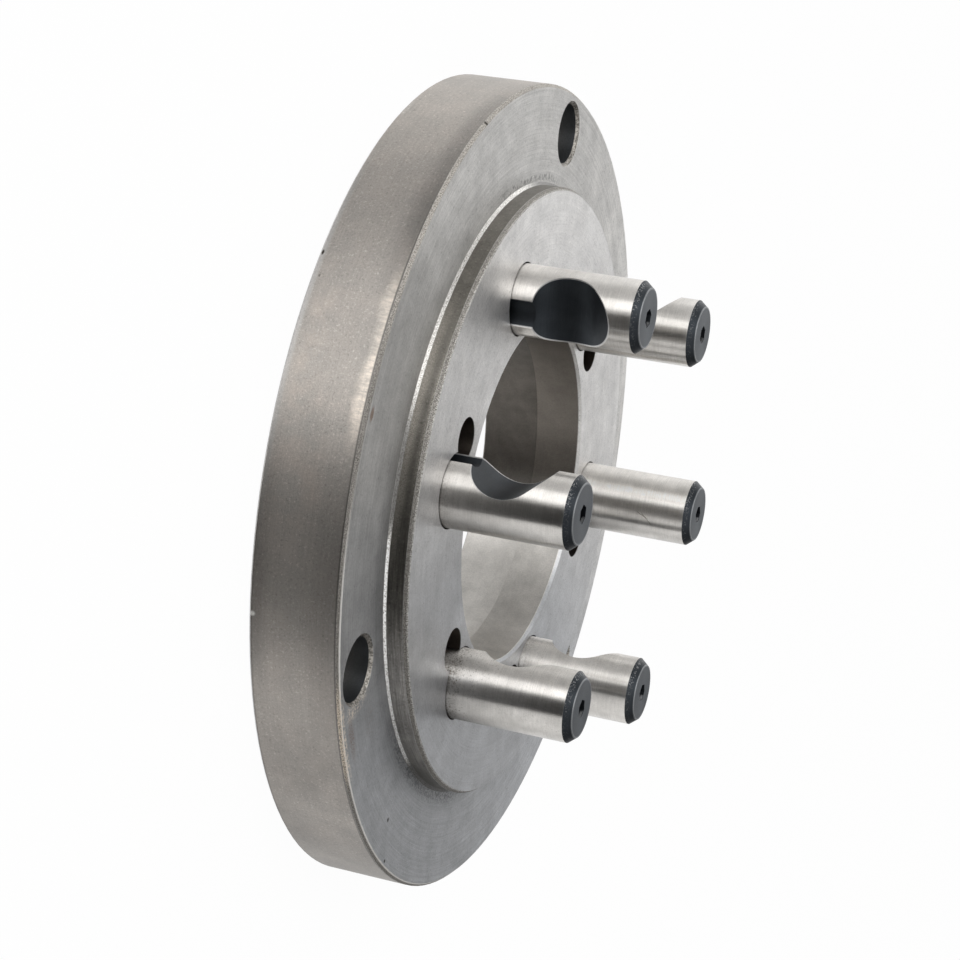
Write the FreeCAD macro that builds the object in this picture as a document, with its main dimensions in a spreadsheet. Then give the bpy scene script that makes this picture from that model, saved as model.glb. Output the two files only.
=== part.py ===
import FreeCAD, Part
import math
import os
import Sketcher

os.makedirs("parts", exist_ok=True)
doc = FreeCAD.newDocument("chuck_backplate")

# The plate lies on its chuck side, so the spindle side with its six studs faces up.
# Z is the spindle axis, and its zero is the chuck side. X runs through the first stud.

# Driving sizes in millimetres and degrees
driving_sizes = {
    "outer_diameter": 250.0,
    "flange_thickness": 26.6,
    "rim_chamfer": 1.0,
    "back_rim_chamfer": 0.6,
    "boss_diameter": 189.4,
    "boss_height": 6.9,
    "boss_chamfer_width": 0.9,
    "boss_chamfer_height": 1.3,
    "boss_root_width": 0.9,
    "boss_root_height": 0.8,
    "taper_diameter": 106.375,
    "taper_half_angle": 7.125,
    "taper_depth": 14.6,
    "taper_mouth_width": 0.6,
    "taper_mouth_height": 1.05,
    "relief_diameter": 105.4,
    "relief_chamfer": 0.6,
    "stud_count": 6,
    "stud_circle_diameter": 133.35,
    "stud_diameter": 21.5,
    "stud_body_length": 45.5,
    "stud_tip_chamfer_height": 2.4,
    "stud_tip_chamfer_width": 1.95,
    "stud_thread_diameter": 19.9,
    "stud_thread_length": 16.0,
    "stud_seat_clearance": 0.45,
    "stud_foot_clearance": 1.0,
    "thread_clearance": 0.05,
    "thread_end_clearance": 1.5,
    "notch_below_tip": 22.0,
    "notch_web": 2.8,
    "notch_radius": 11.3,
    "notch_slope": 39.9,
    "socket_across_flats": 5.0,
    "socket_depth": 5.0,
    "lock_circle_inset": 2.075,
    "lock_angle": -13.3,
    "lock_head_diameter": 13.0,
    "lock_head_depth": 12.0,
    "lock_tap_diameter": 6.8,
    "lock_tap_depth": 23.0,
    "lock_groove_clearance": 0.5,
    "mount_count": 3,
    "mount_rim_distance": 12.7,
    "mount_angle": 87.0,
    "mount_head_diameter": 18.6,
    "mount_head_depth": 13.0,
    "mount_mouth_chamfer": 1.0,
    "mount_hole_diameter": 13.5,
    "overcut": 2.0,
}

# How far each stud stands above the boss, and which way its cam notch faces
stud_heights = [39.4, 39.1, 38.9, 38.8, 38.5, 39.0]
stud_turns = [5.0, 99.0, 207.3, 103.8, 50.3, 60.0]
for number, (height, turn) in enumerate(zip(stud_heights, stud_turns), 1):
    driving_sizes["stud_%d_height" % number] = height
    driving_sizes["stud_%d_turn" % number] = turn

sheet = doc.addObject("Spreadsheet::Sheet", "sizes")
for row, (name, value) in enumerate(driving_sizes.items(), 1):
    sheet.set("A%d" % row, name)
    sheet.set("B%d" % row, str(value))
    sheet.setAlias("B%d" % row, name)
doc.recompute()


class Size:
    # A length or angle as a number, with the same formula in the words of the sheet
    def __init__(self, value, text):
        self.value = value
        self.text = text

    def __add__(self, other):
        other = as_size(other)
        return Size(self.value + other.value, "(%s + %s)" % (self.text, other.text))

    def __sub__(self, other):
        other = as_size(other)
        return Size(self.value - other.value, "(%s - %s)" % (self.text, other.text))

    def __neg__(self):
        return Size(-self.value, "(0 - %s)" % self.text)

    def __mul__(self, other):
        other = as_size(other)
        return Size(self.value * other.value, "(%s * %s)" % (self.text, other.text))

    def __truediv__(self, other):
        other = as_size(other)
        return Size(self.value / other.value, "(%s / %s)" % (self.text, other.text))


def as_size(number):
    if isinstance(number, Size):
        return number
    return Size(float(number), repr(float(number)))


def size(name):
    return Size(float(getattr(sheet, name)), "sizes." + name)


def cosine(angle):
    return Size(math.cos(math.radians(angle.value)), "cos(%s * 1 deg)" % angle.text)


def sine(angle):
    return Size(math.sin(math.radians(angle.value)), "sin(%s * 1 deg)" % angle.text)


def tangent(angle):
    return Size(math.tan(math.radians(angle.value)), "tan(%s * 1 deg)" % angle.text)


def root(number):
    return Size(math.sqrt(number.value), "sqrt(%s)" % number.text)


def lowest(sizes):
    return Size(min(item.value for item in sizes), "min(%s)" % "; ".join(item.text for item in sizes))


# Sizes worked out from the driving ones
zero = as_size(0)
overcut = size("overcut")
outer_radius = size("outer_diameter") / 2
flange_face = size("flange_thickness")
boss_radius = size("boss_diameter") / 2
boss_face = flange_face + size("boss_height")
taper_radius = size("taper_diameter") / 2
taper_slope = tangent(size("taper_half_angle"))
relief_radius = size("relief_diameter") / 2
stud_circle = size("stud_circle_diameter") / 2
stud_radius = size("stud_diameter") / 2
stud_length = size("stud_body_length")
thread_radius = size("stud_thread_diameter") / 2
lock_circle = stud_circle - size("lock_circle_inset")
lock_head_radius = size("lock_head_diameter") / 2
mount_circle = outer_radius - size("mount_rim_distance")
mount_head_radius = size("mount_head_diameter") / 2
notch_height = stud_length - size("notch_below_tip")
lock_offset = root(
    stud_circle * stud_circle
    + lock_circle * lock_circle
    - stud_circle * lock_circle * 2 * cosine(size("lock_angle"))
)


def sketch_on(body, name, role):
    sketch = body.newObject("Sketcher::SketchObject", name)
    plane = [item for item in body.Origin.OriginFeatures if item.Role == role][0]
    sketch.AttachmentSupport = [(plane, "")]
    sketch.MapMode = "FlatFace"
    return sketch


def raise_sketch(sketch, height):
    sketch.setExpression("AttachmentOffset.Base.z", height.text)


def turn_sketch(sketch, angle):
    sketch.AttachmentOffset = FreeCAD.Placement(
        FreeCAD.Vector(0, 0, 0), FreeCAD.Rotation(FreeCAD.Vector(0, 1, 0), angle.value)
    )
    sketch.setExpression("AttachmentOffset.Rotation.Angle", angle.text)


def drive(sketch, kind, place, amount):
    # A zero distance is written as a point on the axis, which the solver holds better
    geometry, point = place
    if amount.value == 0 and kind == "DistanceX":
        sketch.addConstraint(Sketcher.Constraint("PointOnObject", geometry, point, -2))
    elif amount.value == 0 and kind == "DistanceY":
        sketch.addConstraint(Sketcher.Constraint("PointOnObject", geometry, point, -1))
    else:
        made = sketch.addConstraint(Sketcher.Constraint(kind, -1, 1, geometry, point, amount.value))
        sketch.setExpression("Constraints[%d]" % made, amount.text)


def outline(sketch, corners, rounds=None):
    # A closed outline through the corners, each an (across, up) pair.
    # An edge named in rounds is an arc of the given centre and radius instead of a line.
    rounds = rounds or {}
    ends = []
    for index, (start, end) in enumerate(zip(corners, corners[1:] + corners[:1])):
        first = FreeCAD.Vector(start[0].value, start[1].value, 0)
        last = FreeCAD.Vector(end[0].value, end[1].value, 0)
        if index in rounds:
            across, up, radius = rounds[index]
            centre = FreeCAD.Vector(across.value, up.value, 0)
            begin = math.atan2(first.y - centre.y, first.x - centre.x)
            finish = math.atan2(last.y - centre.y, last.x - centre.x)
            clockwise = (finish - begin) % (2 * math.pi) > math.pi
            if clockwise:
                begin, finish = finish, begin
            if finish < begin:
                finish += 2 * math.pi
            circle = Part.Circle(centre, FreeCAD.Vector(0, 0, 1), radius.value)
            made = sketch.addGeometry(Part.ArcOfCircle(circle, begin, finish), False)
            ends.append((made, 2, 1) if clockwise else (made, 1, 2))
        else:
            made = sketch.addGeometry(Part.LineSegment(first, last), False)
            ends.append((made, 1, 2))
    for index, corner in enumerate(corners):
        made, start_point, _ = ends[index]
        before, _, end_point = ends[index - 1]
        sketch.addConstraint(Sketcher.Constraint("Coincident", before, end_point, made, start_point))
        drive(sketch, "DistanceX", (made, start_point), corner[0])
        drive(sketch, "DistanceY", (made, start_point), corner[1])
    for index, (across, up, radius) in rounds.items():
        made = sketch.addConstraint(Sketcher.Constraint("Radius", ends[index][0], radius.value))
        sketch.setExpression("Constraints[%d]" % made, radius.text)


def axis_line(sketch, across):
    # The centre line that a hole's outline is turned about
    low = FreeCAD.Vector(across.value, 0, 0)
    high = FreeCAD.Vector(across.value, boss_face.value, 0)
    made = sketch.addGeometry(Part.LineSegment(low, high), True)
    drive(sketch, "DistanceX", (made, 1), across)
    drive(sketch, "DistanceY", (made, 1), zero)
    drive(sketch, "DistanceX", (made, 2), across)
    drive(sketch, "DistanceY", (made, 2), boss_face)


def turned_hole(body, name, circle_radius, corners, angle, count):
    # One hole turned about its own centre line, then repeated round the spindle axis
    sketch = sketch_on(body, name + "_outline", "XZ_Plane")
    if angle is not None:
        turn_sketch(sketch, angle)
    outline(sketch, corners)
    axis_line(sketch, circle_radius)
    hole = body.newObject("PartDesign::Groove", name)
    hole.Profile = sketch
    hole.ReferenceAxis = (sketch, ["Axis0"])
    hole.Angle = 360
    doc.recompute()
    ring = body.newObject("PartDesign::PolarPattern", name + "_ring")
    ring.Originals = [hole]
    ring.Axis = ([item for item in body.Origin.OriginFeatures if item.Role == "Z_Axis"][0], [""])
    ring.Angle = 360
    ring.setExpression("Occurrences", count.text)
    body.Tip = ring
    doc.recompute()


# Backplate
backplate = doc.addObject("PartDesign::Body", "backplate")
backplate.Label = "backplate"
section = sketch_on(backplate, "plate_section", "XZ_Plane")
outline(
    section,
    [
        (relief_radius + size("relief_chamfer"), zero),
        (outer_radius - size("back_rim_chamfer"), zero),
        (outer_radius, size("back_rim_chamfer")),
        (outer_radius, flange_face - size("rim_chamfer")),
        (outer_radius - size("rim_chamfer"), flange_face),
        (boss_radius + size("boss_root_width"), flange_face),
        (boss_radius, flange_face + size("boss_root_height")),
        (boss_radius, boss_face - size("boss_chamfer_height")),
        (boss_radius - size("boss_chamfer_width"), boss_face),
        (taper_radius + size("taper_mouth_width"), boss_face),
        (taper_radius - size("taper_mouth_height") * taper_slope, boss_face - size("taper_mouth_height")),
        (taper_radius - size("taper_depth") * taper_slope, boss_face - size("taper_depth")),
        (relief_radius, boss_face - size("taper_depth")),
        (relief_radius, size("relief_chamfer")),
    ],
)
turned_plate = backplate.newObject("PartDesign::Revolution", "turned_plate")
turned_plate.Profile = section
turned_plate.ReferenceAxis = (section, ["V_Axis"])
turned_plate.Angle = 360
doc.recompute()

# Stud seats: a counterbore that clears the stud, and a tapped hole below it
seat_radius = stud_radius + size("stud_seat_clearance")
tap_radius = thread_radius + size("thread_clearance")
lowest_height = lowest([size("stud_%d_height" % (index + 1)) for index in range(len(stud_heights))])
deepest_foot = boss_face + lowest_height - stud_length
seat_floor = deepest_foot - size("stud_foot_clearance")
tap_floor = deepest_foot - size("stud_thread_length") - size("thread_end_clearance")
turned_hole(
    backplate,
    "stud_seat",
    stud_circle,
    [
        (stud_circle, boss_face + overcut),
        (stud_circle + seat_radius, boss_face + overcut),
        (stud_circle + seat_radius, seat_floor),
        (stud_circle + tap_radius, seat_floor),
        (stud_circle + tap_radius, tap_floor),
        (stud_circle, tap_floor),
    ],
    None,
    size("stud_count"),
)

# Lock screw seats, which run into the stud seats beside them
lock_tap_radius = size("lock_tap_diameter") / 2
lock_floor = boss_face - size("lock_head_depth")
lock_tap_floor = boss_face - size("lock_tap_depth")
turned_hole(
    backplate,
    "lock_seat",
    lock_circle,
    [
        (lock_circle, boss_face + overcut),
        (lock_circle + lock_head_radius, boss_face + overcut),
        (lock_circle + lock_head_radius, lock_floor),
        (lock_circle + lock_tap_radius, lock_floor),
        (lock_circle + lock_tap_radius, lock_tap_floor),
        (lock_circle, lock_tap_floor),
    ],
    size("lock_angle"),
    size("stud_count"),
)

# Counterbored holes through the flange for the screws that hold the chuck
mount_hole_radius = size("mount_hole_diameter") / 2
mount_mouth = size("mount_mouth_chamfer")
mount_floor = flange_face - size("mount_head_depth")
turned_hole(
    backplate,
    "mount_hole",
    mount_circle,
    [
        (mount_circle, boss_face + overcut),
        (mount_circle + mount_head_radius + mount_mouth, boss_face + overcut),
        (mount_circle + mount_head_radius + mount_mouth, flange_face),
        (mount_circle + mount_head_radius, flange_face - mount_mouth),
        (mount_circle + mount_head_radius, mount_floor),
        (mount_circle + mount_hole_radius, mount_floor),
        (mount_circle + mount_hole_radius, -overcut),
        (mount_circle, -overcut),
    ],
    size("mount_angle"),
    size("mount_count"),
)


def camlock_stud(number):
    # One stud. Its own zero is the shoulder at the foot of the ground body, and its notch faces +X.
    body = doc.addObject("PartDesign::Body", "camlock_stud_%d" % number)
    body.Label = "camlock_stud_%d" % number
    turned = sketch_on(body, "stud_section_%d" % number, "XZ_Plane")
    outline(
        turned,
        [
            (zero, -size("stud_thread_length")),
            (thread_radius, -size("stud_thread_length")),
            (thread_radius, zero),
            (stud_radius, zero),
            (stud_radius, stud_length - size("stud_tip_chamfer_height")),
            (stud_radius - size("stud_tip_chamfer_width"), stud_length),
            (zero, stud_length),
        ],
    )
    blank = body.newObject("PartDesign::Revolution", "stud_blank_%d" % number)
    blank.Profile = turned
    blank.ReferenceAxis = (turned, ["V_Axis"])
    blank.Angle = 360
    doc.recompute()

    # Cam notch: a round bottom that runs out toward the tip along a straight slope
    web = size("notch_web")
    bend = size("notch_radius")
    slope = size("notch_slope")
    centre_across = web + bend
    slope_start_across = centre_across - bend * cosine(slope)
    slope_start_up = notch_height + bend * sine(slope)
    notch_outline = sketch_on(body, "notch_outline_%d" % number, "XZ_Plane")
    outline(
        notch_outline,
        [
            (centre_across, notch_height - bend),
            (web, notch_height),
            (slope_start_across, slope_start_up),
            (centre_across, slope_start_up + (centre_across - slope_start_across) / tangent(slope)),
        ],
        rounds={0: (centre_across, notch_height, bend), 1: (centre_across, notch_height, bend)},
    )
    notch = body.newObject("PartDesign::Pocket", "cam_notch_%d" % number)
    notch.Profile = notch_outline
    notch.Type = "ThroughAll"
    notch.SideType = "Symmetric"
    doc.recompute()

    # Groove up the side for the head of the lock screw, from the shoulder into the notch
    groove_outline = sketch_on(body, "groove_outline_%d" % number, "XY_Plane")
    raise_sketch(groove_outline, notch_height)
    groove_radius = lock_head_radius + size("lock_groove_clearance")
    flat = FreeCAD.Vector(0, 0, 1)
    groove_outline.addGeometry(
        Part.Circle(FreeCAD.Vector(lock_offset.value, 0, 0), flat, groove_radius.value), False
    )
    drive(groove_outline, "DistanceX", (0, 3), lock_offset)
    drive(groove_outline, "DistanceY", (0, 3), zero)
    made = groove_outline.addConstraint(Sketcher.Constraint("Radius", 0, groove_radius.value))
    groove_outline.setExpression("Constraints[%d]" % made, groove_radius.text)
    groove = body.newObject("PartDesign::Pocket", "lock_groove_%d" % number)
    groove.Profile = groove_outline
    groove.setExpression("Length", notch_height.text)
    doc.recompute()

    # Hexagon socket in the tip, with a corner toward the notch
    socket_outline = sketch_on(body, "socket_outline_%d" % number, "XY_Plane")
    raise_sketch(socket_outline, stud_length)
    sides = 6
    corner_angles = [as_size(360 * side / sides) for side in range(sides)]
    corner_radius = size("socket_across_flats") / 2 / cosine(as_size(180 / sides))
    outline(
        socket_outline,
        [(corner_radius * cosine(angle), corner_radius * sine(angle)) for angle in corner_angles],
    )
    socket = body.newObject("PartDesign::Pocket", "hexagon_socket_%d" % number)
    socket.Profile = socket_outline
    socket.setExpression("Length", "sizes.socket_depth")
    body.Tip = socket

    # Its place on the stud circle, its height above the boss and its turn
    known = (number - 1) % len(stud_heights) + 1
    around = as_size(number - 1) * 360 / size("stud_count")
    turn = size("stud_%d_turn" % known)
    body.Placement = FreeCAD.Placement(
        FreeCAD.Vector(0, 0, 0), FreeCAD.Rotation(FreeCAD.Vector(0, 0, 1), turn.value)
    )
    body.setExpression("Placement.Rotation.Angle", turn.text)
    body.setExpression("Placement.Base.x", (stud_circle * cosine(around)).text)
    body.setExpression("Placement.Base.y", (stud_circle * sine(around)).text)
    shoulder = boss_face + size("stud_%d_height" % known) - stud_length
    body.setExpression("Placement.Base.z", shoulder.text)
    doc.recompute()
    return body


pieces = [backplate]
for number in range(1, int(sheet.stud_count) + 1):
    pieces.append(camlock_stud(number))
doc.recompute()

# Every object is sound and every cut removes material before anything is written
for item in doc.Objects:
    if "Invalid" in item.State or "Error" in item.State:
        raise SystemExit("failed: %s %s" % (item.Name, item.State))
for piece in pieces:
    features = [item for item in piece.Group if item.isDerivedFrom("PartDesign::Feature")]
    for before, after in zip(features, features[1:]):
        if after.Shape.Volume > before.Shape.Volume - 1.0:
            raise SystemExit("cuts nothing: %s" % after.Name)
    if piece.Shape.isNull() or not piece.Shape.isValid() or len(piece.Shape.Solids) != 1:
        raise SystemExit("not one sound solid: %s" % piece.Label)
for piece in pieces:
    piece.Shape.exportStep("parts/%s.step" % piece.Label)
    box = piece.Shape.BoundBox
    print("%-16s volume %9.1f  z %6.2f to %6.2f" % (piece.Label, piece.Shape.Volume, box.ZMin, box.ZMax))
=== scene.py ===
import math

import bpy
from mathutils import Euler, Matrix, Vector


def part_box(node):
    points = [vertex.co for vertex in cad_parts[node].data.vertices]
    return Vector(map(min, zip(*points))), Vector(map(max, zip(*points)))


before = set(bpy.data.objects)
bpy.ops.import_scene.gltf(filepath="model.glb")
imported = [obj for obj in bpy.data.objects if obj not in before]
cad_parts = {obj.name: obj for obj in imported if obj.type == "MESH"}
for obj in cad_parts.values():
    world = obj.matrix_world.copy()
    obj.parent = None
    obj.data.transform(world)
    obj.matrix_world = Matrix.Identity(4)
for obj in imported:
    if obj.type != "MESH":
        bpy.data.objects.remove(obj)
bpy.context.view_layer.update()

# Sizes of the plate and its studs, in millimetres, as the materials read them
PER_METRE = 1000.0
plate_low, plate_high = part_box("backplate")
OUTER_RADIUS = plate_high.x * PER_METRE
BOSS_FACE = plate_high.z * PER_METRE
FLANGE_FACE = 26.6
RIM_CHAMFER = 1.0
BOSS_RADIUS = 94.7
BOSS_CHAMFER_HEIGHT = 1.3
BOSS_CHAMFER_WIDTH = 0.9
ROOT_WIDTH = 0.9
ROOT_HEIGHT = 0.8
TAPER_RADIUS = 53.19
TAPER_FLOOR = 18.9
SCREW_CIRCLE = 112.3
SEAT_REACH = 12.0
STUD_CIRCLE = 66.675
STUD_RADIUS = 10.75
TIP_CHAMFER_HEIGHT = 2.4

# The depth of the tool marks, in metres, as the bumps take it
PLATE_MARKS = 0.00008
STUD_MARKS = 0.00003

# The angles between which a shade that runs on round the plate fades out before the seam at 360
FADE_START = 290.0
FADE_END = 345.0

# How each stud has aged and how it is shaded, from camlock_stud_1 on: its share of freckles, how dull
# its +Y side is, how much painted shade darkens its -Y side and where that starts, and how bright its
# painted highlight band is
STUD_WEAR_AND_SHADE = [
    {"freckles": 0.2, "dull": 0.85, "painted_shade": 0.28, "painted_shade_start": -0.55, "painted_highlight": 0.62},
    {"freckles": 0.15, "dull": 0.3, "painted_shade": 0.04, "painted_shade_start": 0.1, "painted_highlight": 0.0},
    {"freckles": 0.15, "dull": 0.2, "painted_shade": 0.04, "painted_shade_start": 0.1, "painted_highlight": 0.0},
    {"freckles": 0.3, "dull": 0.2, "painted_shade": 0.05, "painted_shade_start": 0.1, "painted_highlight": 0.0},
    {"freckles": 0.85, "dull": 1.0, "painted_shade": 0.19, "painted_shade_start": 0.1, "painted_highlight": 0.2},
    {"freckles": 0.4, "dull": 1.0, "painted_shade": 0.12, "painted_shade_start": 0.1, "painted_highlight": 0.1},
]

# The two scratches on camlock_stud_1: the height where each starts, and how far it leans per millimetre
SCRATCHES = [(55.0, 2.7), (56.4, 5.6)]
SCRATCH_TURN = 192.0
SCRATCH_HEIGHT = 3.6


def tone(red, green, blue):
    # A colour given in screen steps of 0 to 255, as the linear light that the shaders take
    steps = [channel / 255.0 for channel in (red, green, blue)]
    linear = [s / 12.92 if s <= 0.04045 else ((s + 0.055) / 1.055) ** 2.4 for s in steps]
    return (linear[0], linear[1], linear[2], 1.0)


class Amount:
    # A number or colour that varies over a surface, so that sums on it are written as sums
    def __init__(self, finish, socket):
        self.finish = finish
        self.socket = socket

    def combine(self, operation, first, second=0.0):
        return self.finish.node("ShaderNodeMath", {"operation": operation}, {0: first, 1: second})

    def __add__(self, other):
        return self.combine("ADD", self, other)

    def __sub__(self, other):
        return self.combine("SUBTRACT", self, other)

    def __rsub__(self, other):
        return self.combine("SUBTRACT", other, self)

    def __mul__(self, other):
        return self.combine("MULTIPLY", self, other)

    def __truediv__(self, other):
        return self.combine("DIVIDE", self, other)

    def __pow__(self, other):
        return self.combine("POWER", self, other)

    def __abs__(self):
        return self.combine("ABSOLUTE", self)

    __radd__ = __add__
    __rmul__ = __mul__


class Finish:
    # A node tree that the materials and the studio's surround are written in
    def __init__(self, tree):
        self.tree = tree
        self.tree.nodes.clear()

    def node(self, kind, settings=None, inputs=None, output=0):
        made = self.tree.nodes.new(kind)
        for name, value in (settings or {}).items():
            setattr(made, name, value)
        for key, value in (inputs or {}).items():
            if isinstance(value, Amount):
                self.tree.links.new(value.socket, made.inputs[key])
            else:
                made.inputs[key].default_value = value
        return Amount(self, made.outputs[output]) if made.outputs else None

    def vector(self, x, y, z):
        return self.node("ShaderNodeCombineXYZ", None, {0: x, 1: y, 2: z})

    def axes(self, place):
        return [self.node("ShaderNodeSeparateXYZ", None, {0: place}, axis) for axis in range(3)]

    def length(self, x, y):
        return (x * x + y * y) ** 0.5

    def blend(self, share, first, second):
        return self.node(
            "ShaderNodeMix", {"data_type": "RGBA"}, {0: share, 6: first, 7: second}, 2
        )

    def shade(self, colour, amount):
        # The colour made lighter or darker by an amount that is 1 where it stays
        grey = self.vector(amount, amount, amount)
        return self.node("ShaderNodeVectorMath", {"operation": "MULTIPLY"}, {0: colour, 1: grey})

    def larger(self, first, second):
        return self.node("ShaderNodeMath", {"operation": "MAXIMUM"}, {0: first, 1: second})

    def ramp(self, value, low, high, start, end):
        # A soft step from the start value at low to the end value at high
        return self.node(
            "ShaderNodeMapRange",
            {"interpolation_type": "SMOOTHSTEP"},
            {0: value, 1: low, 2: high, 3: start, 4: end},
        )

    def rise(self, value, low, high):
        return self.ramp(value, low, high, 0.0, 1.0)

    def fall(self, value, low, high):
        return self.ramp(value, low, high, 1.0, 0.0)

    def between(self, value, low, high, soft):
        return self.rise(value, low - soft, low + soft) * self.fall(value, high - soft, high + soft)

    def spot(self, x, y, half_width, half_height, soft=0.5):
        # A patch round a point, given the two distances from that point
        away = self.length(x / half_width, y / half_height)
        return self.fall(away, 1.0 - soft, 1.0 + soft)

    def noise(self, place, scale, detail, rough):
        return self.node(
            "ShaderNodeTexNoise",
            None,
            {"Vector": place, "Scale": scale, "Detail": detail, "Roughness": rough},
        )

    def mix_shaders(self, share, first, second):
        return self.node("ShaderNodeMixShader", None, {0: share, 1: first, 2: second})


class TurnedFinish(Finish):
    # The metal of a turned piece, with the place of each point about the piece's own upright axis
    def __init__(self, name, centre_x, centre_y):
        self.material = bpy.data.materials.new(name)
        self.material.use_nodes = True
        super().__init__(self.material.node_tree)
        where = self.node("ShaderNodeTexCoord", None, None, "Object")
        self.place = self.node(
            "ShaderNodeVectorMath", {"operation": "SCALE"}, {0: where, "Scale": PER_METRE}
        )
        x, y, self.z = self.axes(self.place)
        self.x = x - centre_x
        self.y = y - centre_y
        self.radius = self.length(self.x, self.y)

    def angle(self):
        # The angle round the axis in degrees, from 0 to 360, with its seam toward +X
        sides = {0: self.y * -1.0, 1: self.x * -1.0}
        turn = self.node("ShaderNodeMath", {"operation": "ARCTAN2"}, sides)
        return turn * (180.0 / math.pi) + 180.0

    def metal(self, colour, roughness, normal, metallic, grain):
        # Metal whose turning or grinding marks run round the middle of the piece
        return self.node(
            "ShaderNodeBsdfPrincipled",
            None,
            {
                "Base Color": colour,
                "Roughness": roughness,
                "Metallic": metallic,
                "Normal": normal,
                "Anisotropic": grain,
                "Anisotropic Rotation": 0.25,
            },
        )

    def bump(self, height, distance):
        inputs = {"Height": height, "Distance": distance, "Strength": 1.0}
        return self.node("ShaderNodeBump", None, inputs)

    def show(self, shader):
        self.node("ShaderNodeOutputMaterial", None, {"Surface": shader})
        return self.material


class PlateFinish(TurnedFinish):
    # The plate's metal, with its faces and the patterns that they share
    def __init__(self):
        super().__init__("turned_cast_plate", 0.0, 0.0)
        self.turn = self.angle()
        self.across = self.x / self.radius
        self.along = self.y / self.radius
        self.find_turned_faces()
        self.find_holes()
        self.make_patterns()

    def find_turned_faces(self):
        # Each face is 1 on itself and 0 on the others
        radius, z = self.radius, self.z
        rim_start = OUTER_RADIUS - RIM_CHAMFER
        rim_foot = FLANGE_FACE - RIM_CHAMFER
        edge_start = BOSS_RADIUS - BOSS_CHAMFER_WIDTH
        edge_foot = BOSS_FACE - BOSS_CHAMFER_HEIGHT
        root_top = FLANGE_FACE + ROOT_HEIGHT
        outside = self.rise(radius, OUTER_RADIUS - 0.12, OUTER_RADIUS - 0.04)
        self.outside = outside * self.fall(z, rim_foot - 0.04, rim_foot)
        rim = self.rise(radius, rim_start - 0.05, rim_start + 0.05)
        self.rim = rim * self.rise(z, rim_foot - 0.05, rim_foot + 0.05)
        wall = self.between(radius, BOSS_RADIUS - 0.5, BOSS_RADIUS + 0.3, 0.1)
        self.wall = wall * self.between(z, root_top, edge_foot, 0.05)
        root = self.between(radius, BOSS_RADIUS - 0.5, BOSS_RADIUS + ROOT_WIDTH, 0.15)
        self.root = root * self.between(z, FLANGE_FACE + 0.03, root_top, 0.03)
        edge = self.rise(radius, edge_start - 0.1, edge_start)
        self.edge = edge * self.rise(z, edge_foot, edge_foot + 0.1)
        self.bore = self.fall(radius, TAPER_RADIUS - 0.15, TAPER_RADIUS + 0.05)
        self.flange = self.between(z, FLANGE_FACE - 0.03, FLANGE_FACE + 0.03, 0.02)
        self.boss = self.rise(z, BOSS_FACE - 0.05, BOSS_FACE - 0.02)
        self.above_back = self.rise(z, 0.02, 0.1)

    def find_holes(self):
        # The walls of the chuck screw holes, their chamfered mouths, and the seats in the boss
        radius, z = self.radius, self.z
        hole = self.between(radius, SCREW_CIRCLE - 10.6, SCREW_CIRCLE + 10.9, 0.1)
        hole = hole * self.fall(z, FLANGE_FACE - 0.5, FLANGE_FACE - 0.1)
        self.screw_hole = hole * self.above_back
        mouth = self.between(radius, SCREW_CIRCLE - 11.0, SCREW_CIRCLE + 11.2, 0.1)
        self.screw_mouth = mouth * self.between(z, FLANGE_FACE - 1.0, FLANGE_FACE - 0.05, 0.02)
        seat = self.between(radius, STUD_CIRCLE - SEAT_REACH, STUD_CIRCLE + SEAT_REACH, 0.1)
        seat = seat * self.fall(z, BOSS_FACE - 0.3, BOSS_FACE - 0.05)
        self.seat = seat * self.above_back

    def make_patterns(self):
        self.lathe = self.turning_marks(1.6, 2.5, 3.0, 0.65)
        self.fine = self.turning_marks(6.0, 9.0, 2.0, 0.7)
        self.grain = self.noise(self.place, 2.2, 3.0, 0.7)
        self.speck = self.noise(self.place, 1.3, 2.0, 0.8)
        self.cloud = self.noise(self.place, 0.035, 3.0, 0.55)
        self.patch = self.noise(self.place, 0.11, 4.0, 0.6)
        self.grit = self.noise(self.place, 3.6, 2.0, 0.6)
        self.pale = self.rise(self.speck, 0.58, 0.7)
        self.dull = self.fall(self.speck, 0.3, 0.42)

    def turning_marks(self, per_millimetre, round_plate, detail, rough):
        # Marks round the axis, so they vary with the radius and only slowly round the plate
        feed = self.radius + self.z * 1.3
        where = self.vector(
            feed * per_millimetre, self.across * round_plate, self.along * round_plate
        )
        return self.noise(where, 1.0, detail, rough)

    def turns(self, low, high, soft):
        # The share of the way round that lies between two angles
        return self.between(self.turn, low, high, soft)

    def past(self, low, high):
        # The share of the way round that lies past an angle, closed again before the seam
        return self.rise(self.turn, low, high) * self.fall(self.turn, FADE_START, FADE_END)

    def face_spot(self, turn, radius, half_turn, half_width):
        # A patch on the flange, by the angle and radius of its middle
        return self.spot(self.turn - turn, self.radius - radius, half_turn, half_width)

    def side_spot(self, turn, height, half_turn, half_height, soft=0.5):
        # A patch on the outside or the rim, by the angle and height of its middle
        return self.spot(self.turn - turn, self.z - height, half_turn, half_height, soft)


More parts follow.
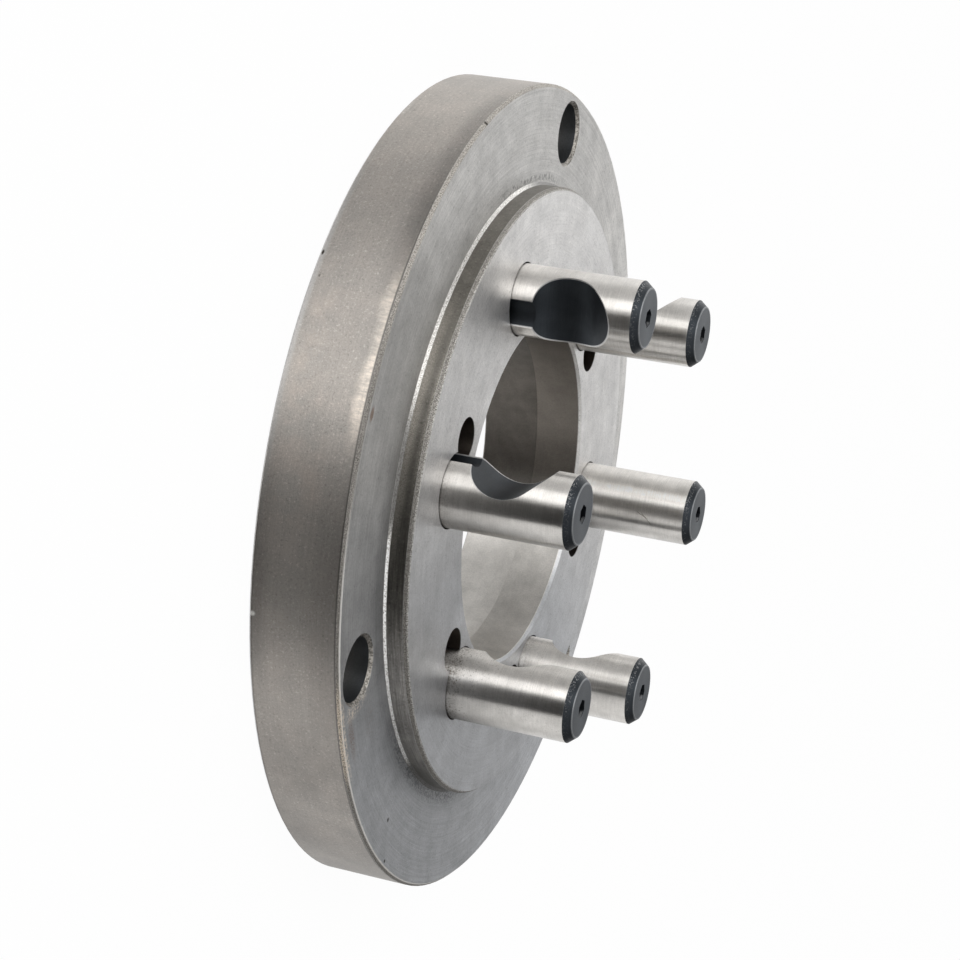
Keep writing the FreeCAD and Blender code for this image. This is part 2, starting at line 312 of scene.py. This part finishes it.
def flat_faces(plate):
    # The flange is a little darker than the boss, and both have painted shade that makes them darker
    # and bluer toward -Y
    boss_colour = plate.blend(plate.cloud, tone(217, 216, 215), tone(228, 226, 224))
    flange_colour = plate.blend(plate.cloud, tone(198, 197, 195), tone(213, 211, 208))
    colour = plate.blend(plate.boss, flange_colour, boss_colour)
    lower = plate.fall(plate.along, -0.75, 0.2)
    colour = plate.blend(lower * 0.7, colour, tone(168, 171, 176))
    mottle = (plate.patch - 0.5) * 0.6
    colour = plate.shade(colour, 1.0 + mottle + plate.pale * 0.14 - plate.dull * 0.26)
    # Painted shade on the side nearest the camera, painted light on the far side, and more painted
    # shade just below the nearest point
    painted_near_shade = plate.turns(152.0, 212.0, 14.0)
    colour = plate.shade(colour, 1.0 - painted_near_shade * (0.08 + plate.flange * 0.19))
    painted_far_light = plate.rise(plate.across, 0.0, 0.8)
    colour = plate.shade(colour, 1.0 + painted_far_light * (0.1 + plate.flange * 0.16))
    colour = plate.shade(colour, 1.0 - plate.turns(192.0, 216.0, 8.0) * 0.12)
    # Painted shade on the flange beside the boss wall, round the side nearest the camera
    painted_wall_shade = plate.fall(plate.radius, 97.5, 106.0) * plate.flange
    painted_wall_shade = painted_wall_shade * plate.turns(138.0, 232.0, 12.0)
    return plate.shade(colour, 1.0 - painted_wall_shade * 0.26)


def flange_wear(plate, colour):
    # Grime in the corner beside the boss, in specks, over a faint painted shade of the corner
    grime_and_corner_shade = plate.turns(226.0, 274.0, 9.0) * plate.fall(plate.radius, 96.5, 102.0) * plate.flange
    colour = plate.shade(colour, 1.0 - grime_and_corner_shade * (0.1 + plate.rise(plate.speck, 0.42, 0.56) * 0.5))
    # Chatter ticks on the flange above the boss, as long as the clouds let them be
    tick = plate.noise(plate.vector(plate.turn * 1.7, plate.radius * 0.5, 0.0), 1.0, 2.0, 0.6)
    chatter = plate.rise(tick, 0.5, 0.56) * plate.turns(89.0, 119.0, 4.0)
    chatter_end = 98.0 + (plate.cloud - 0.5) * 5.0
    chatter = chatter * plate.between(plate.radius, 95.8, chatter_end, 0.4) * plate.flange
    colour = plate.shade(colour, 1.0 - chatter * 0.45)
    # Rust beside the lower screw hole, and a brown mark at the rim
    rust = plate.face_spot(216.0, 119.5, 3.5, 1.6) * plate.rise(plate.grit, 0.44, 0.6)
    rust = rust + plate.face_spot(171.2, 122.0, 0.9, 1.0)
    freckled = plate.rise(plate.speck, 0.55, 0.66) * 0.6
    rust = rust + plate.face_spot(218.0, 108.0, 3.0, 3.0) * freckled
    colour = plate.blend(rust * plate.flange * 0.7, colour, tone(126, 96, 74))
    # Worn tan specks toward the rim and beside the hole, and two small pits
    worn = plate.turns(209.0, 221.0, 2.5) * plate.rise(plate.radius, 122.2, 122.9) * plate.flange
    worn = worn + plate.face_spot(211.9, 114.5, 1.5, 6.5) * plate.flange
    worn = worn * plate.rise(plate.speck, 0.46, 0.56) * 0.7
    colour = plate.blend(worn, colour, tone(244, 232, 216))
    pit = plate.face_spot(239.9, 113.2, 0.35, 0.6) + plate.face_spot(244.0, 123.0, 0.3, 0.5)
    return plate.blend(pit * plate.flange, colour, tone(60, 56, 52))


def outside_skin(plate):
    # The outside has a warm grey skin with mottling and pale specks
    colour = plate.blend(plate.rise(plate.patch, 0.2, 0.8), tone(157, 153, 148), tone(167, 161, 155))
    mottle = (plate.cloud - 0.5) * 0.3
    colour = plate.shade(colour, 1.0 + mottle + plate.pale * 0.32 - plate.dull * 0.22)
    # A brushed streak just below the rim
    ragged = plate.z + (plate.patch - 0.5) * 6.0
    streak = plate.turns(154.0, 174.0, 5.0) * plate.rise(ragged, 20.8, 24.8)
    streak = streak * plate.fall(plate.z, 24.9, 25.2)
    brush = plate.noise(plate.vector(plate.turn * 3.2, plate.z * 0.35, 0.0), 1.0, 2.0, 0.6)
    brushed = plate.rise(brush, 0.35, 0.65) * 0.45
    streak = streak * (0.4 + brushed + plate.rise(plate.patch, 0.4, 0.6) * 0.3)
    colour = plate.blend(streak * 0.85, colour, tone(226, 216, 204))
    # Lighter and darker stretches round the outside: painted light on the top, and painted shade below
    # the rim there
    top_light = plate.rise(plate.turn, 15.0, 70.0) * plate.fall(plate.turn, 118.0, 146.0)
    top_shade = plate.turns(112.0, 152.0, 8.0) * plate.rise(plate.z, 17.0, 25.0)
    colour = plate.shade(colour, 0.97 + top_light * 0.4 - top_shade * 0.36)
    stain = plate.side_spot(196.0, 25.5, 17.0, 8.0, 0.7) * (0.6 + plate.patch * 0.8)
    colour = plate.shade(colour, 1.0 - stain * 0.22)
    low_patch = plate.noise(plate.place, 0.045, 3.0, 0.6) - 0.5
    colour = plate.shade(colour, 1.0 + low_patch * plate.past(205.0, 225.0) * 0.7)
    # Painted light on the middle of the side nearest the camera, and painted shade toward the bottom
    colour = plate.shade(colour, 1.0 + plate.turns(168.0, 193.0, 9.0) * 0.42)
    colour = plate.shade(colour, 1.0 - plate.past(203.0, 222.0) * 0.15)
    # Warm blotches low down, which reach higher further round
    warm_top = plate.rise(plate.turn, 164.0, 178.0) * 8.0
    warm = plate.rise(plate.patch, 0.34, 0.66) * plate.turns(156.0, 186.0, 5.0)
    warm = warm * plate.rise(plate.z, 1.5, 5.0) * plate.fall(plate.z - warm_top, 7.0, 11.0)
    colour = plate.blend(warm * 0.3, colour, tone(196, 183, 172))
    return outside_edges(plate, colour)


def outside_edges(plate, colour):
    # Shades along the back edge and a dark line below the rim
    back_shade = plate.fall(plate.z, 1.0, 7.0) * plate.turns(178.0, 206.0, 9.0)
    colour = plate.shade(colour, 1.0 - back_shade * 0.24)
    # Painted highlight: a pale bluish band along the back edge, toward the top on the side nearest the
    # camera
    back_edge_sheen = plate.fall(plate.z, 0.8, 2.4) * plate.turns(138.0, 182.0, 9.0)
    colour = plate.blend(back_edge_sheen * 0.4, colour, tone(190, 191, 192))
    back_line = plate.fall(plate.z, 0.5, 1.3) * plate.past(186.0, 200.0)
    colour = plate.shade(colour, 1.0 - back_line * 0.4)
    rim_line = plate.rise(plate.z, 24.9, 25.4) * plate.past(136.0, 156.0)
    colour = plate.shade(colour, 1.0 - rim_line * 0.5)
    # Two nicks and two scrapes near the back edge
    nick = plate.side_spot(151.7, 0.9, 0.35, 0.35) + plate.side_spot(155.0, 2.4, 0.18, 0.3) * 0.6
    colour = plate.blend(nick, colour, tone(58, 54, 50))
    scrape = plate.side_spot(122.3, 1.0, 2.2, 0.9) * (plate.pale + 0.3) * 0.7
    scrape = scrape + plate.side_spot(198.3, 1.0, 0.3, 0.8)
    return plate.blend(scrape, colour, tone(226, 224, 220))


def rim_skin(plate):
    # The rim chamfer is a grainy band with painted shade lower down, a painted highlight along its
    # inner edge, a nick near the top and wear below the lower screw hole
    colour = plate.blend(plate.rise(plate.grit, 0.34, 0.66), tone(132, 128, 122), tone(208, 203, 196))
    colour = plate.shade(colour, 1.0 - plate.past(143.0, 172.0) * 0.42)
    rim_highlight_line = plate.fall(plate.radius, OUTER_RADIUS - 0.8, OUTER_RADIUS - 0.55)
    rim_highlight_line = rim_highlight_line * plate.past(176.0, 200.0)
    colour = plate.blend(rim_highlight_line * 0.85, colour, tone(236, 234, 230))
    wear = plate.turns(207.0, 221.0, 3.0) * plate.rise(plate.grit, 0.4, 0.56)
    colour = plate.blend(wear * 0.8, colour, tone(236, 222, 204))
    return plate.blend(plate.side_spot(123.6, 26.2, 0.22, 0.7), colour, tone(64, 60, 56))


def wall_skin(plate):
    # The wall of the boss is mottled, with painted light by the lower screw hole
    light = plate.turns(204.0, 240.0, 9.0)
    colour = plate.blend(light, tone(116, 113, 107), tone(150, 147, 143))
    mottle = (plate.patch - 0.5) * 1.2
    colour = plate.shade(colour, 1.0 + mottle + plate.pale * 0.4 - plate.dull * 0.3)
    # Painted shade on the stretch of the wall nearest the camera, and painted light round its upper
    # side
    colour = plate.shade(colour, 1.0 - plate.turns(174.0, 204.0, 6.0) * 0.24)
    top_light = plate.rise(plate.turn, 20.0, 80.0) * plate.fall(plate.turn, 150.0, 170.0)
    colour = plate.shade(colour, 1.0 + top_light * 0.16)
    # Specks along its foot and head, and streaks round its lower part
    foot = plate.fall(plate.z, 28.0, 30.6) * plate.turns(148.0, 190.0, 8.0)
    head = plate.rise(plate.z, 30.8, 32.4) * plate.turns(156.0, 184.0, 8.0)
    speckled = foot * (0.4 + plate.rise(plate.grit, 0.4, 0.6) * 0.6)
    speckled = speckled + head * plate.rise(plate.grit, 0.42, 0.6)
    colour = plate.blend(speckled * 0.55, colour, tone(206, 200, 190))
    streaks = plate.noise(plate.vector(plate.z * 2.4, plate.turn * 0.12, 0.0), 1.0, 2.0, 0.6)
    return plate.shade(colour, 1.0 + (streaks - 0.5) * plate.past(176.0, 196.0) * 1.6)


def root_skin(plate):
    # The root line has a painted highlight where the light meets it, broken into specks lower down
    painted_flash = plate.turns(104.0, 167.0, 6.0)
    painted_flash = painted_flash + plate.turns(189.0, 238.0, 4.0) * plate.rise(plate.grit, 0.34, 0.5) * 2.2
    thin = plate.between(plate.z, FLANGE_FACE + 0.1, FLANGE_FACE + 0.68, 0.08)
    painted_flash = painted_flash * (thin + (1.0 - thin) * plate.fall(plate.turn, 160.0, 176.0))
    colour = plate.blend(plate.rise(plate.grit, 0.32, 0.6), tone(150, 145, 137), tone(246, 244, 240))
    return plate.shade(colour, 0.24 + painted_flash * 0.76)


def edge_skin(plate):
    # The boss chamfer is dark and grainy, with painted shade from the side nearest the camera on round,
    # and a broken bright line along its upper edge
    colour = plate.blend(plate.rise(plate.grit, 0.36, 0.64), tone(112, 109, 103), tone(186, 182, 176))
    colour = plate.shade(colour, 0.9 - plate.past(165.0, 190.0) * 0.26)
    line = plate.rise(plate.z, BOSS_FACE - 0.5, BOSS_FACE - 0.2) * plate.rise(plate.grit, 0.42, 0.56)
    return plate.blend(line * 0.7, colour, tone(228, 226, 222))


def bore_skin(plate):
    # The bore has painted shade toward +Y, deeper below the foot of the taper, and is softly mottled
    colour = plate.blend(plate.rise(plate.along, -0.35, 0.15), tone(206, 203, 198), tone(112, 107, 101))
    upper = plate.rise(plate.along, 0.0, 0.4)
    relief = plate.fall(plate.z, TAPER_FLOOR - 0.2, TAPER_FLOOR + 0.2)
    mottle = plate.noise(plate.vector(plate.turn * 0.14, plate.z * 0.12, 0.0), 1.0, 3.0, 0.6)
    mottle = mottle + plate.patch - 1.0
    return plate.shade(colour, 1.0 - upper * (relief * 0.55 - 0.15) + mottle * 0.5)


def screw_hole_skin(plate):
    # Painted light and shade: the screw holes are lighter deep down and darker near their mouths
    return plate.blend(plate.rise(plate.z, 14.0, 26.0), tone(150, 149, 146), tone(98, 101, 104))


def screw_mouth_skin(plate):
    return plate.blend(plate.rise(plate.speck, 0.4, 0.6), tone(104, 101, 96), tone(176, 171, 164))


def plate_finish():
    plate = PlateFinish()
    colour = flange_wear(plate, flat_faces(plate))
    skins = [
        (plate.outside, outside_skin),
        (plate.rim, rim_skin),
        (plate.wall, wall_skin),
        (plate.root, root_skin),
        (plate.edge, edge_skin),
        (plate.bore, bore_skin),
        (plate.screw_hole, screw_hole_skin),
        (plate.screw_mouth, screw_mouth_skin),
    ]
    for face, skin in skins:
        colour = plate.blend(face, colour, skin(plate))
    # The seats of the studs and lock screws are plain, with painted shade that makes them dark
    colour = plate.blend(plate.seat, colour, tone(78, 71, 65))

    # The tool marks are strongest on the flange and on the back
    marks = plate.flange * 0.3 + plate.boss * 0.1 - plate.bore * 0.1 + plate.outside * 0.04
    marks = marks + (1.0 - plate.above_back) * 0.3
    tint = 1.0 + (plate.lathe - 0.5) * (0.2 + marks) + (plate.fine - 0.5) * (0.1 + marks)
    colour = plate.shade(colour, tint + (plate.grain - 0.5) * 0.6)

    rough_edge = plate.larger(plate.rim, plate.edge)
    roughness = 0.4 + plate.outside * 0.12 + plate.flange * 0.1 + rough_edge * 0.25
    roughness = roughness + (plate.grain - 0.5) * 0.2
    height = plate.lathe * (0.4 + marks) + plate.fine * 0.3 + plate.grain * 0.5
    normal = plate.bump(height + rough_edge * plate.grit, PLATE_MARKS)
    turned = plate.metal(colour, roughness, normal, metallic=0.9, grain=0.4)
    broken = plate.metal(colour, roughness, normal, metallic=0.9, grain=0.0)
    return plate.show(plate.mix_shaders(rough_edge, turned, broken))


class StudFinish(TurnedFinish):
    # The metal of one stud, with its ground body and the patterns on it
    def __init__(self, number, tip):
        around = math.radians(360.0 / len(STUD_WEAR_AND_SHADE) * number)
        centre_x = STUD_CIRCLE * math.cos(around)
        centre_y = STUD_CIRCLE * math.sin(around)
        super().__init__("ground_stud_%d" % (number + 1), centre_x, centre_y)
        self.wear_and_shade = STUD_WEAR_AND_SHADE[number]
        self.side = self.y / STUD_RADIUS
        self.below_tip = tip - self.z
        self.body = self.rise(self.below_tip, TIP_CHAMFER_HEIGHT - 0.03, TIP_CHAMFER_HEIGHT + 0.03)
        self.ground = self.body * self.rise(self.radius, STUD_RADIUS - 0.14, STUD_RADIUS - 0.06)
        ring_place = self.vector(self.below_tip * 5.0, self.x * 0.12, self.y * 0.12)
        self.rings = self.noise(ring_place, 1.0, 3.0, 0.7)
        self.grain = self.noise(self.place, 2.6, 3.0, 0.7)
        self.cloud = self.noise(self.place, 0.12, 2.0, 0.5)
        self.speck = self.noise(self.place, 1.6, 2.0, 0.8)


def stud_scratches(stud):
    # Fine leaning scratches on the side that faces the camera
    turn = stud.angle()
    scratches = 0.0
    for low, lean in SCRATCHES:
        off = turn - SCRATCH_TURN - (stud.z - low) * lean
        line = stud.fall(abs(off), 0.4, 1.1) * stud.between(stud.z, low, low + SCRATCH_HEIGHT, 0.5)
        scratches = scratches + line * 0.7
    return scratches


def stud_steel(stud, scratches):
    colour = stud.blend(stud.cloud, tone(202, 199, 194), tone(219, 216, 212))
    # Freckles, more of them low down, and a smudge where the stud leaves the boss
    foot = stud.fall(stud.z, BOSS_FACE + 1.0, BOSS_FACE + 14.0)
    freckles = stud.rise(stud.speck, 0.6, 0.66) * (0.4 + foot * 0.6)
    freckles = freckles * (0.3 + stud.rise(stud.cloud, 0.42, 0.62) * 0.7)
    smudge = stud.fall(stud.z, BOSS_FACE + 0.6, BOSS_FACE + 4.5)
    smudge = smudge * stud.rise(stud.speck + stud.cloud * 0.5, 0.66, 0.86)
    marks = (freckles + smudge * 0.6) * stud.wear_and_shade["freckles"] + scratches
    colour = stud.blend(marks, colour, tone(116, 107, 97))
    # Blotches all over, painted shade on the -Y side, a painted highlight band on the +Y side, and
    # painted light toward the top of the +Y side
    blotch = stud.noise(stud.place, 0.32, 3.0, 0.6)
    start = stud.wear_and_shade["painted_shade_start"]
    painted_under_shade = stud.fall(stud.side, start - 0.5, start)
    colour = stud.shade(colour, 1.0 + (blotch - 0.5) * 0.3 - painted_under_shade * stud.wear_and_shade["painted_shade"])
    painted_highlight = stud.between(stud.side, 0.25, 0.55, 0.1) * stud.wear_and_shade["painted_highlight"]
    return stud.shade(colour, 1.0 + painted_highlight + stud.rise(stud.side, 0.4, 0.9) * 0.16)


def stud_black(stud):
    # The tip, the socket and the notch are blackened, and the end face a little paler
    colour = stud.blend(stud.cloud, tone(50, 53, 57), tone(62, 66, 70))
    colour = stud.blend(stud.fall(stud.below_tip, 0.02, 0.1), colour, tone(88, 93, 98))
    end_ring = stud.fall(stud.below_tip, 0.15, 0.3) * stud.rise(stud.radius, 8.2, 8.6)
    colour = stud.blend(end_ring * (0.4 + stud.speck * 0.4), colour, tone(168, 170, 172))
    # The steel shows through where the chamfer and the notch's edges are worn, and a painted reflection
    # lightens one side of the socket's lip
    worn = stud.between(stud.below_tip, TIP_CHAMFER_HEIGHT - 1.3, TIP_CHAMFER_HEIGHT, 0.3)
    worn = worn * stud.rise(stud.speck, 0.54, 0.68) * (0.3 + stud.rise(stud.side, -0.2, 0.7) * 0.7)
    colour = stud.blend(worn * 0.7, colour, tone(176, 176, 176))
    socket_lip_reflection = stud.fall(stud.radius, 3.0, 3.2) * stud.between(stud.below_tip, 0.15, 0.9, 0.1)
    socket_lip_reflection = socket_lip_reflection * stud.rise(stud.x * 0.5 - stud.y * 0.85, 1.9, 2.3)
    colour = stud.blend(socket_lip_reflection * 0.8, colour, tone(200, 202, 204))
    notch_edge = stud.body * stud.rise(stud.radius, STUD_RADIUS - 0.5, STUD_RADIUS - 0.3)
    return stud.blend(notch_edge * 0.75, colour, tone(214, 214, 214))


def stud_finish(number, tip):
    stud = StudFinish(number, tip)
    scratches = stud_scratches(stud) if number == 0 else 0.0
    colour = stud.blend(stud.ground, stud_black(stud), stud_steel(stud, scratches))
    tint = 1.0 + (stud.rings - 0.5) * 0.5 + (stud.grain - 0.5) * 0.4 + (stud.cloud - 0.5) * 0.3
    colour = stud.shade(colour, tint)
    # The side of each stud that faces up in the photo is a little duller than the rest
    upper = stud.rise(stud.side, 0.25, 0.75) * stud.wear_and_shade["dull"]
    roughness = 0.48 - stud.ground * 0.16 + stud.ground * upper * 0.22
    normal = stud.bump(stud.rings * 0.4 + stud.grain * 0.5, STUD_MARKS)
    polished = stud.metal(colour, roughness, normal, metallic=1.0, grain=0.88)
    dipped = stud.metal(colour, roughness, normal, metallic=1.0, grain=0.2)
    return stud.show(stud.mix_shaders(stud.ground, dipped, polished))


def dress(node, material):
    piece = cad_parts[node]
    piece.data.materials.clear()
    piece.data.materials.append(material)


dress("backplate", plate_finish())
for number in range(len(STUD_WEAR_AND_SHADE)):
    stud_name = "camlock_stud_%d" % (number + 1)
    stud_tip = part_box(stud_name)[1].z * PER_METRE
    dress(stud_name, stud_finish(number, stud_tip))


# The glow of each part of the light tent, where 1 is a white surface as it is written
TENT_GLOW = 0.62
OPEN_SIDE_LOSS = 0.44
WALL_GLOW = 1.3
TABLE_GLOW = 0.66
ROOF_GLOW = 1.2


def studio_surround():
    # A light tent as the metal sees it, and plain white where the camera looks past the plate
    world = bpy.data.worlds.new("studio")
    world.use_nodes = True
    bpy.context.scene.world = world
    tent = Finish(world.node_tree)
    ray = tent.node("ShaderNodeTexCoord", None, None, "Generated")
    x, y, z = tent.axes(ray)
    level = tent.length(x, y)
    across, along = x / level, y / level

    # The white wall behind the plate ends a little above its level, and lower toward the -Y side
    wall = tent.fall(z - along * 0.3, 0.27, 0.4) * tent.rise(along, -0.5, 0.08)
    behind_plate = tent.rise(across, -0.05, 0.35)
    high = TENT_GLOW + behind_plate * (wall * WALL_GLOW - OPEN_SIDE_LOSS)
    # The table is lighter on the far side and toward -Y
    low = TABLE_GLOW + tent.rise(across, -0.3, 0.6) * 0.25 + tent.fall(along, -0.85, -0.1) * 0.25
    low = low + tent.fall(along, -0.8, -0.35) * tent.fall(across, -0.2, 0.4) * 0.4
    lit = low + tent.rise(z, -0.12, 0.12) * (high - low)
    lit = lit + tent.rise(z, 0.7, 0.95) * (ROOF_GLOW - lit)

    seen = tent.node("ShaderNodeLightPath", None, None, "Is Camera Ray")
    strength = lit + seen * (1.0 - lit)
    white = (1.0, 1.0, 1.0, 1.0)
    light = tent.node("ShaderNodeBackground", None, {"Color": white, "Strength": strength})
    tent.node("ShaderNodeOutputWorld", None, {"Surface": light})


studio_surround()


def stage_sheet(name, corners):
    # A flat sheet of the studio with a material of its own, whose node tree it gives too
    mesh = bpy.data.meshes.new(name)
    mesh.from_pydata(corners, [], [(0, 1, 2, 3)])
    sheet = bpy.data.objects.new(name, mesh)
    bpy.context.scene.collection.objects.link(sheet)
    material = bpy.data.materials.new(name)
    material.use_nodes = True
    mesh.materials.append(material)
    return sheet, material


def studio_floor(reach, gap, whiteness):
    # White paper that keeps the shadow. Reflections and views from below look through it, so that
    # the metal mirrors the tent and the flat back shows
    corners = [(-reach, -reach, 0), (reach, -reach, 0), (reach, reach, 0), (-reach, reach, 0)]
    floor, material = stage_sheet("studio_floor", corners)
    floor.location.z = plate_low.z - gap
    paper = Finish(material.node_tree)
    matt = paper.node("ShaderNodeBsdfDiffuse", None, {"Color": (0.9, 0.9, 0.9, 1.0)})
    plain = {"Color": (1.0, 1.0, 1.0, 1.0), "Strength": 1.0}
    white = paper.node("ShaderNodeEmission", None, plain)
    seen = paper.node("ShaderNodeLightPath", None, None, "Is Camera Ray")
    shown = paper.mix_shaders(seen * whiteness, matt, white)
    mirrored = paper.node("ShaderNodeLightPath", None, None, "Is Glossy Ray")
    from_below = paper.node("ShaderNodeNewGeometry", None, None, "Backfacing")
    clear = paper.node("ShaderNodeBsdfTransparent")
    both = paper.mix_shaders(paper.larger(mirrored, from_below), shown, clear)
    paper.node("ShaderNodeOutputMaterial", None, {"Surface": both})


studio_floor(reach=6.0, gap=0.0002, whiteness=0.96)


def studio_card(name, start, end, glow):
    # An upright card that only the metal's own reflections see, with its two ends in millimetres
    foot, top = -0.6, 0.3
    ends = [(x / PER_METRE, y / PER_METRE) for x, y in (start, end)]
    corners = [(x, y, foot) for x, y in ends] + [(x, y, top) for x, y in reversed(ends)]
    card, material = stage_sheet(name, corners)
    card.visible_camera = False
    card.visible_diffuse = False
    card.visible_shadow = False
    card.visible_transmission = False
    material.cycles.emission_sampling = "NONE"
    surface = Finish(material.node_tree)
    even = {"Color": (1.0, 1.0, 1.0, 1.0), "Strength": glow}
    light = surface.node("ShaderNodeEmission", None, even)
    surface.node("ShaderNodeOutputMaterial", None, {"Surface": light})


studio_card("dark_card", start=(-311.0, 43.0), end=(-209.0, -164.0), glow=0.01)
studio_card("bright_card", start=(-265.0, 263.0), end=(-379.0, 107.0), glow=1.8)


def studio_lamp(name, azimuth, elevation, distance, width, power):
    lamp = bpy.data.lights.new(name, "AREA")
    lamp.shape = "SQUARE"
    lamp.size = width
    lamp.energy = power
    holder = bpy.data.objects.new(name, lamp)
    a, e = math.radians(azimuth), math.radians(elevation)
    away = Vector((math.cos(a) * math.cos(e), math.sin(a) * math.cos(e), math.sin(e)))
    holder.location = away * distance
    holder.rotation_mode = "QUATERNION"
    holder.rotation_quaternion = away.to_track_quat("Z", "Y")
    bpy.context.scene.collection.objects.link(holder)


studio_lamp("lamp_above", azimuth=142.0, elevation=42.0, distance=1.4, width=1.0, power=4.7)


def photo_camera(place, turns, lens_length, sensor_width):
    # The camera as solved from the photo, with its place in metres and its turns in degrees
    lens = bpy.data.cameras.new("photo_camera")
    lens.lens = lens_length
    lens.sensor_width = sensor_width
    lens.clip_start = 0.05
    lens.clip_end = 40.0
    camera = bpy.data.objects.new("photo_camera", lens)
    camera.location = place
    camera.rotation_euler = Euler([math.radians(turn) for turn in turns], "XYZ")
    bpy.context.scene.collection.objects.link(camera)
    bpy.context.scene.camera = camera


photo_camera(
    place=(-0.698040, 0.032289, 0.254475),
    turns=(-27.59560, -68.81656, 26.73780),
    lens_length=88.6353,
    sensor_width=36.0,
)
bpy.context.scene.view_settings.view_transform = "Standard"
